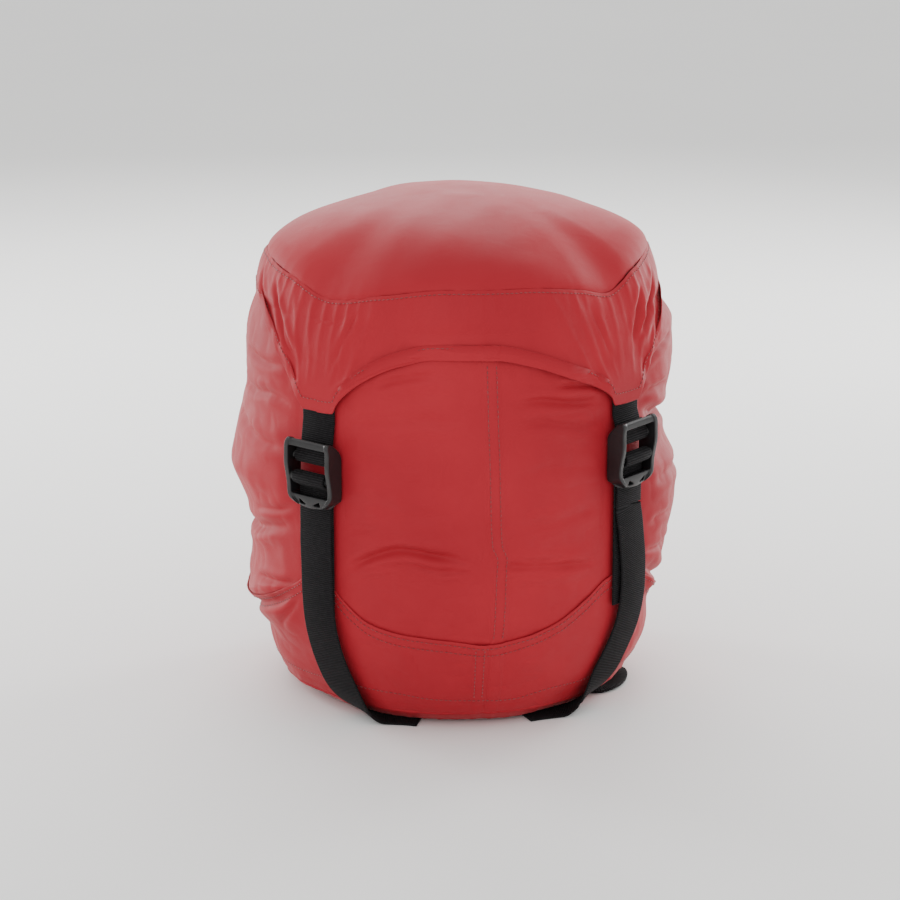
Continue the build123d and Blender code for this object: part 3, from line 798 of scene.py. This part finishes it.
def lid_crown(phi, t):
    """Top panel from the seam (t = 0) to the middle (t = 1): radius and height."""
    seam_r, seam_z = lid_seam_radius(phi), lid_seam_height(phi)
    r = seam_r * (1 - t)
    dome = np.clip(1 - (1 - t) ** 2.3, 0, 1) ** 0.70
    at_seam = np.exp(-((t / 0.24) ** 1.4))
    level = MEAN_SEAM_Z + (CROWN_Z - MEAN_SEAM_Z) * dome + (seam_z - MEAN_SEAM_Z) * at_seam
    puckers = pleats(phi, 62, 61) * 0.35 * np.exp(-((t / 0.03) ** 1.2))
    x, y = r * np.sin(np.radians(phi)), r * np.cos(np.radians(phi))
    sag = (0.7 * np.sin(x / 27 + 0.7) * np.cos(y / 33 + 0.4) + 0.35 * np.sin(x / 14 - y / 19 + 1.0)
           + 0.12 * np.sin(x / 6.5 + y / 8.3))
    return r, level + puckers + sag * smoothstep(0.02, 0.2, t) * smoothstep(1.0, 0.8, t)


def make_lid():
    phi_line = angles_round(720)
    phi, t = np.meshgrid(phi_line, np.linspace(0, 1, int(90 * QUALITY)) ** 1.35 * 0.992)
    r, z = lid_crown(phi, t)
    # the welt: the panel's edge rolls over the seam and down behind the apron
    roll = [(0.0, -0.4), (-0.25, -1.0), (-0.9, -1.9), (-2.0, -2.6)]
    rim = pleats(phi_line, 62, 61) * 0.5
    roll_r = np.stack([lid_seam_radius(phi_line) + dr + rim for dr, _ in reversed(roll)])
    roll_z = np.stack([lid_seam_height(phi_line) + dz for _, dz in reversed(roll)])
    phi = np.vstack([np.tile(phi_line, (len(roll), 1)), phi])
    r, z = np.vstack([roll_r, r]), np.vstack([roll_z, z])
    panel = ring_mesh("lid_panel_skin", phi, r, z, r, (-1,))
    thicken(panel, 0.4)
    dress(panel, NYLON, "lid")
    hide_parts("lid_panel")

    phi, t = np.meshgrid(phi_line, np.linspace(0, 1, int(150 * QUALITY)))
    seam, hem = lid_seam_height(phi) - 0.25, hem_height(phi)
    z = hem + (seam - hem) * t
    r = apron_outside(phi, z)
    lip_phi = np.tile(phi_line, (4, 1))
    hem_line, edge_r = hem_height(phi_line), apron_outside(phi_line, hem_height(phi_line))
    lip_z = np.stack([hem_line + dz for dz in (9.0, 0.5, -0.35, -0.35)])
    lip_r = np.stack([edge_r + dr for dr in (-1.5, -1.3, -0.9, -0.35)])
    phi, r, z = np.vstack([lip_phi, phi]), np.vstack([lip_r, r]), np.vstack([lip_z, z])
    apron = ring_mesh("lid_apron_skin", phi, r, z)
    thicken(apron, 0.4)
    dress(apron, NYLON, "lid")
    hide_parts("lid_apron")

    line = np.linspace(-180, 180, 1100)
    stitch_line("hem_stitches", apron_outside, line, hem_height(line) + 7.0, "lid")
    stitch_line("lid_seam_stitches", apron_outside, line, lid_seam_height(line) - 2.4, "lid")


# ---- webbing
WEB_W, WEB_T = 25.0, 1.5
UP = np.array([0, 0, 1.0])
# the webbing's section, as shares of half its width and half its thickness
SECTION = [(-1.0, 0.0), (-0.985, 0.68), (-0.93, 1.0), (0.0, 1.0), (0.93, 1.0), (0.985, 0.68), (1.0, 0.0),
           (0.985, -0.68), (0.93, -1.0), (0.0, -1.0), (-0.93, -1.0), (-0.985, -0.68)]
BUCKLE_MID = {name: sum(c.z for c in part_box("buckle_" + name)) / 2 / MM for name in STRAP_AT}


def filleted(points, radii, step=0.7):
    """Points along a polyline in a plane whose inner corners are rounded to radii."""
    pts = [np.array(p, float) for p in points]
    path = [pts[0]]
    for before, corner, after, radius in zip(pts, pts[1:], pts[2:], radii):
        a, b = (before - corner), (after - corner)
        a, b = a / np.linalg.norm(a), b / np.linalg.norm(b)
        half = math.acos(np.clip(a.dot(b), -1, 1)) / 2
        if half > math.radians(89.5):
            continue
        reach = radius / math.tan(half)
        bisector = (a + b) / np.linalg.norm(a + b)
        centre = corner + bisector * radius / math.sin(half)
        start, end = corner + a * reach - centre, corner + b * reach - centre
        turn = math.pi - 2 * half
        sign = np.sign(start[0] * end[1] - start[1] * end[0])
        parts = max(int(turn * 5), 3)
        for k in range(parts + 1):
            angle = sign * turn * k / parts
            c, s = math.cos(angle), math.sin(angle)
            path.append(centre + np.array([c * start[0] - s * start[1], s * start[0] + c * start[1]]))
    path.append(pts[-1])
    return resample(np.array(path), step)


def resample(points, step):
    """The same line with points at most step apart."""
    gaps = np.linalg.norm(np.diff(points, axis=0), axis=1)
    keep = np.concatenate([[True], gaps > 1e-4])
    points = points[keep]
    run = np.concatenate([[0], np.cumsum(np.linalg.norm(np.diff(points, axis=0), axis=1))])
    at = np.linspace(0, run[-1], max(int(run[-1] / step), 2) + 1)
    return np.stack([np.interp(at, run, points[:, k]) for k in range(points.shape[1])], -1)


def soft_curve(points, step=1.2):
    """Catmull-Rom curve through the points."""
    return resample(np.array(smooth_line(points, 24)), step)


def directions(degrees):
    """Outward direction at an angle round the sack, and the level one in which the angle grows."""
    a = math.radians(degrees)
    return np.array([math.sin(a), -math.cos(a), 0]), np.array([math.cos(a), math.sin(a), 0])


def ribbon(name, points, outs, body=None):
    """Flat webbing along points with its face towards outs. uvs are millimetres across and along."""
    points, outs = np.asarray(points, float), np.asarray(outs, float)
    along = np.gradient(points, axis=0)
    along /= np.linalg.norm(along, axis=1, keepdims=True)
    out = outs - along * np.sum(outs * along, axis=1, keepdims=True)
    out /= np.linalg.norm(out, axis=1, keepdims=True)
    side = np.cross(along, out)
    run = np.concatenate([[0], np.cumsum(np.linalg.norm(np.diff(points, axis=0), axis=1))])
    cols = len(SECTION)
    verts = np.zeros((len(points), cols, 3))
    uvs = np.zeros((len(points), cols, 2))
    for k, (u, w) in enumerate(SECTION):
        verts[:, k] = points + side * u * WEB_W / 2 + out * w * WEB_T / 2
        uvs[:, k] = np.stack([np.full(len(points), u * WEB_W / 2), run], -1)
    obj = add_mesh(name, verts.reshape(-1, 3), sweep_faces(len(points), cols), uvs.reshape(-1, 2))
    return dress(obj, WEBBING, body)


def in_strap_plane(name, path, seen_from=1.0):
    """Lifts a (distance, height) path into space, with its face to the right of its way, or to the
    left when seen_from is -1."""
    out, _ = directions(STRAP_AT[name])
    points = path[:, :1] * out + path[:, 1:2] * UP
    along = np.gradient(path, axis=0)
    along /= np.linalg.norm(along, axis=1, keepdims=True)
    return points, (along[:, 1:2] * out - along[:, :1] * UP) * seen_from


# run of each free tail below its buckle: (distance, sideways, height), sideways being towards the
# middle of the front or the back
TAILS = {
    "fl": [(136.0, 0, 106), (136.3, 1.0, 86), (134.6, 3.2, 62), (129.5, 5.2, 42), (120.5, 8, 23),
           (110.5, 12.5, 8.5), (102, 18, 2.3), (95, 25.5, 0.95), (90, 33, 0.85), (86, 41, 0.85)],
    "fr": [(136.6, -2.6, 118), (137.2, -5.0, 98), (136.0, -4.4, 76), (131.5, -2.0, 53), (122, 2.5, 29),
           (112, 9, 11), (103, 16, 2.6), (95.5, 24, 0.95), (90, 32, 0.85), (86, 40, 0.85)],
    "bl": [(136.2, 0.8, 108), (136.5, 1.8, 86), (134.8, 1.0, 62), (130.0, 1.0, 42), (121, 4, 23),
           (111, 9, 8.5), (102, 15, 2.3), (95, 22.5, 0.95), (90, 30, 0.85), (86, 38, 0.85)],
    "br": [(136.1, -0.8, 106), (136.4, -1.4, 86), (134.4, 1.6, 60), (129.0, 3.6, 40), (120, 7, 22),
           (110.5, 12, 8.5), (102, 17, 2.3), (95, 24.5, 0.95), (90, 32, 0.85), (86, 39, 0.85)],
}
TOWARD_MIDDLE = {"fl": 1.0, "fr": -1.0, "br": 1.0, "bl": -1.0}
WRAP_END = 33.0                 # the part near the buckle reaches this far below its middle
SEW_LOW, SEW_HIGH = 76.0, 93.0  # the load run is sewn to the cap's tip between these heights


def make_straps(name):
    """One corner's webbing: the tab's loop, the strap through the buckle, its load run and its tail."""
    out, side = directions(STRAP_AT[name])
    mid = BUCKLE_MID[name]
    pivot = mid + 10.5
    wrap_end = mid - WRAP_END
    upper = filleted([(132.15, 217), (132.15, 197), (134.05, pivot + 9), (134.05, pivot - 3.15),
                      (140.35, pivot - 3.15), (140.35, pivot + 1.6), (135.67, pivot + 9.2)],
                     [4, 4, 3.1, 3.1, 2.5])
    points, normals = in_strap_plane(name, upper, -1.0)
    piece = ribbon("upper_webbing_%s_band" % name, points, normals, "lid")
    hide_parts("upper_webbing_" + name)

    wrap = filleted([(134.05, wrap_end), (134.05, mid - 8), (136.35, mid - 3.2), (136.35, mid + 1.35),
                     (143.25, mid + 1.35), (143.25, mid - 4.1), (136, mid - 8.3), (136, wrap_end)],
                    [4, 3, 3.4, 3.4, 3.45, 2.4])
    points, normals = in_strap_plane(name, wrap, 1.0)
    piece = ribbon("compression_strap_%s_wrap" % name, points, -normals)
    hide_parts("compression_strap_" + name)
    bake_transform(piece)

    load = filleted([(134.05, wrap_end), (134.05, SEW_LOW)], [])
    points, normals = in_strap_plane(name, load, -1.0)
    run = ribbon("compression_strap_%s_load_run" % name, points, normals)
    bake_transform(run)

    toward = TOWARD_MIDDLE[name]
    knots = [(136, 0, wrap_end), (136, 0, wrap_end - 3)]
    knots += [(d, s * toward, z) for d, s, z in TAILS[name] if z < wrap_end - 8]
    local = soft_curve(knots)
    height = local[:, 2:3]
    points = local[:, :1] * out + local[:, 1:2] * side + height * UP
    turn = smoothstep(34, 1.5, height) * math.pi / 2
    outs = out * np.cos(turn) - UP * np.sin(turn)
    ripple = 0.35 * np.sin(height / 9.0) * smoothstep(wrap_end, wrap_end - 12, height)
    tail = ribbon("compression_strap_%s_tail" % name, points + out * ripple * (height > 8), outs)
    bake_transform(tail)


# ---- grab loop, mouth and load


def make_grab_loop():
    """Webbing folded into a flat loop, sewn in at the base seam and lying on the ground."""
    out, side = directions(GRAB_AT)
    theta = np.linspace(-90, 90, 61)
    c, s = np.cos(np.radians(theta)), np.sin(np.radians(theta))
    inner_half, outer_half = 10.5, 28.5
    inner = np.stack([88.0 + 11.0 * c ** 0.75, inner_half * s], -1)
    outer = np.stack([88.0 + 24.5 * c ** 0.85, outer_half * np.sign(s) * np.abs(s) ** 0.9], -1)
    for edge, half in ((inner, inner_half), (outer, outer_half)):
        edge[0], edge[-1] = (85.0, -half), (85.0, half)
    rows, uvs = [], []
    run = np.radians(theta) * 18
    for u, w in SECTION:
        place = (inner + outer) / 2 + (outer - inner) / 2 * u
        lift = 0.9 + 1.5 * smoothstep(99, 111, place[:, 0]) + 0.35 * (1 + np.sin(place[:, 1] / 6)) * 0.5
        height = lift + w * 0.8
        rows.append(place[:, :1] * out + place[:, 1:] * side + height[:, None] * UP)
        uvs.append(np.stack([np.full(len(theta), u * 9), run], -1))
    faces = sweep_faces(len(theta), len(SECTION))
    loop = add_mesh("grab_loop_band", np.stack(rows, 1).reshape(-1, 3), faces,
                    np.stack(uvs, 1).reshape(-1, 2))
    dress(loop, WEBBING, "grab_loop")
    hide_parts("grab_loop")


def make_buckle(name):
    """The buckle as it leaves the mould: soft edges, and a lift tab that narrows to a rounded end."""
    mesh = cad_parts["buckle_" + name].data.copy()
    piece = bpy.data.objects.new("buckle_%s_moulding" % name, mesh)
    bpy.context.collection.objects.link(piece)
    remesh = piece.modifiers.new("skin", "REMESH")
    remesh.mode, remesh.voxel_size = "VOXEL", 0.00042 / QUALITY ** 0.5
    apply_modifiers(piece)
    soften = piece.modifiers.new("soften", "SMOOTH")
    soften.factor, soften.iterations = 0.5, 5
    apply_modifiers(piece)
    out, side = directions(STRAP_AT[name])
    co = np.zeros(len(piece.data.vertices) * 3)
    piece.data.vertices.foreach_get("co", co)
    co = co.reshape(-1, 3) / MM
    d, w, h = co @ out, co @ side, co[:, 2] - BUCKLE_MID[name]
    front = smoothstep(133.0, 142.0, d)
    narrow = (1 - (0.11 + 0.30 * front) * smoothstep(-8.5, -22.5, h) ** 1.7
              - 0.07 * smoothstep(15, 22.5, h) ** 1.5)
    crown = np.cos(np.clip(w / 18.0, -1, 1) * np.pi / 2)
    belly = 1.3 * front * crown * smoothstep(-9, -20, h)
    lift = (1.5 * front * (1 - crown) * smoothstep(-14, -22.5, h)
            + 4.5 * (1 - front) * smoothstep(-13, -22.5, h))
    co = co + side * (w * (narrow - 1))[:, None] + out * belly[:, None] + UP * lift[:, None]
    piece.data.vertices.foreach_set("co", (co * MM).ravel())
    piece.data.update()
    dress(piece, PLASTIC, "buckle_" + name)
    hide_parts("buckle_" + name)


# rings of the mouth from the shoulder in to the cord's channel: (radius, height, depth of gathers)
MOUTH = [(59.5, 288.4, 1.4), (52, 289.0, 1.6), (42, 288.9, 1.7), (32, 288.0, 1.6), (24, 286.9, 1.3),
         (20.6, 288.2, 0.9), (20.3, 291.2, 0.9), (18.6, 293.6, 0.8), (16.0, 294.3, 0.7),
         (13.4, 293.0, 0.6), (12.2, 290.0, 0.5), (13.2, 286.8, 0.4)]


def make_mouth():
    """Gathered throat inside the shoulder, with the cord's hem drawn to a ring."""
    phi_line = angles_round(480)
    rings = []
    for r, z, gather in MOUTH:
        folds = (pleats(phi_line, 40, 83) - 0.4) * gather
        rings.append((r + 0.25 * folds, z + 0.8 * folds * (r > 22) - 0.2))
    r, z = np.stack(rings, 1)
    collar = ring_mesh("mouth_collar_gathers", np.tile(phi_line, (len(rings), 1)), r, z, r)
    thicken(collar, 0.5)
    dress(collar, NYLON, "root")
    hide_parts("mouth_collar")


def tube(name, points, radius, material, body):
    """A round cord along points in millimetres."""
    points = np.asarray(points, float)
    along = np.gradient(points, axis=0)
    along /= np.linalg.norm(along, axis=1, keepdims=True)
    side = np.cross(along, UP)
    side /= np.linalg.norm(side, axis=1, keepdims=True) + 1e-9
    lift = np.cross(side, along)
    sides = 14
    ring = np.radians(np.arange(sides) * 360 / sides)
    verts = (points[:, None] + side[:, None] * np.cos(ring)[None, :, None] * radius
             + lift[:, None] * np.sin(ring)[None, :, None] * radius)
    obj = add_mesh(name, verts.reshape(-1, 3), sweep_faces(len(points), sides))
    return dress(obj, material, body)


def make_drawcord():
    cord_radius = 1.5
    for k, x in enumerate((-1.8, 1.8)):
        stem = soft_curve([(x, -16, 290), (x, -23, 290.3), (x, -31, 299.6), (x, -34, 300.4), (x, -42, 300.4),
                           (x, -58, 300.4), (x, -61.5, 300.2), (x, -68, 295.4), (x * 0.6, -72, 293.8)], 0.8)
        piece = tube("drawcord_stem_%d" % k, stem, cord_radius, CORD, "root")
        if k == 0:
            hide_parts("drawcord")
    a = np.linspace(0, 2 * np.pi, 60)
    knot = np.stack([3.2 * np.sin(2 * a), -74.6 + 2.6 * np.cos(a), 293.8 + 2.3 * np.sin(3 * a)], -1)
    tube("drawcord_knot", knot, cord_radius, CORD, "root")


def make_lock_spring():
    """The cord lock's coil spring, built at one fixed length in the spring part's box; nothing here shortens
    it as the plunger is pressed.
    """
    low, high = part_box("cord_lock_spring")
    wire = 0.32
    turns, steps = 3.5, 120
    a = np.linspace(0, 2 * np.pi * turns, steps)
    radius = (high.x - low.x) / MM / 2 - wire
    centre = (low + high) / 2 / MM
    z = np.linspace(low.z / MM + wire, high.z / MM - wire, steps)
    points = np.stack([centre.x + radius * np.cos(a), centre.y + radius * np.sin(a), z], -1)
    coil = tube("cord_lock_spring_coil", points, wire, SPRING_STEEL, "cord_lock")
    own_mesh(coil)
    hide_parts("cord_lock_spring")


def make_load():
    """The soft gear inside, a little under the wall everywhere."""
    phi_line = angles_round(240)
    z_line = np.linspace(16, 250, 60)
    phi, z = np.meshgrid(phi_line, z_line)
    r = wall_radius(phi, z) - 3.2
    bottom = [(0.5, 3.0), (60, 3.0), (88, 5.0), (99, 9.0)]
    top = [(112, 262), (96, 272), (70, 279), (40, 281), (0.5, 281)]
    low, high = [np.repeat(np.array(rings, float)[:, :, None], len(phi_line), 2) for rings in (bottom, top)]
    rings_r, rings_z = [np.vstack([low[:, k], side, high[:, k]]) for k, side in enumerate((r, z))]
    phi = np.tile(phi_line, (len(rings_r), 1))
    load = ring_mesh("packed_load_bundle", phi, rings_r, rings_z, None, (0, -1))
    dress(load, LOAD_CLOTH, "root")
    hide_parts("packed_load")


# ---- build
make_sack_body()
make_wall_stitches()
make_base_cap()
make_base_panel()
make_lid()
for strap in STRAP_AT:
    make_straps(strap)
    make_buckle(strap)
make_grab_loop()
make_mouth()
make_drawcord()
make_lock_spring()
make_load()

CAD_LOOKS = {"eyelet": EYELET_PAINT, "cord_lock_barrel": PLASTIC, "cord_lock_plunger": PLASTIC}
for node, material in CAD_LOOKS.items():
    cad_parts[node].data.materials.clear()
    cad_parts[node].data.materials.append(material)

# ---- stage and light


def make_stage():
    bpy.ops.mesh.primitive_plane_add(size=60, location=(0, 0, 0))
    floor = bpy.context.object
    floor.name = "floor"
    n = Nodes("floor_paper")
    n.colour(n.texture("Noise", Scale=3.0), 0.0, (0.86, 0.855, 0.845), 1.0, (0.90, 0.895, 0.885))
    n.set(Roughness=0.9, Specular_IOR_Level=0.1)
    floor.data.materials.append(n.material)
    world = bpy.data.worlds.new("studio")
    bpy.context.scene.world = world
    world.use_nodes = True
    background = world.node_tree.nodes["Background"]
    background.inputs["Color"].default_value = (0.955, 0.955, 0.95, 1.0)
    background.inputs["Strength"].default_value = 1.25


def area_light(name, place, aim, size, power):
    data = bpy.data.lights.new(name, "AREA")
    data.shape, data.size, data.size_y = "RECTANGLE", size[0], size[1]
    data.energy = power
    light = bpy.data.objects.new(name, data)
    bpy.context.collection.objects.link(light)
    light.location = place
    light.rotation_mode = "QUATERNION"
    light.rotation_quaternion = (Vector(aim) - Vector(place)).to_track_quat("-Z", "Y")


make_stage()
area_light("key_front", (-0.6, -2.2, 1.3), (0, 0, 0.15), (1.8, 1.4), 12)
area_light("rim_left", (-1.15, 0.95, 0.35), (0, 0, 0.15), (0.4, 1.2), 17)
area_light("rim_right", (1.15, 0.90, 0.40), (0, 0, 0.15), (0.4, 1.2), 17)
area_light("top_back", (0, 1.3, 1.0), (0, 0, 0.28), (1.4, 0.5), 20)
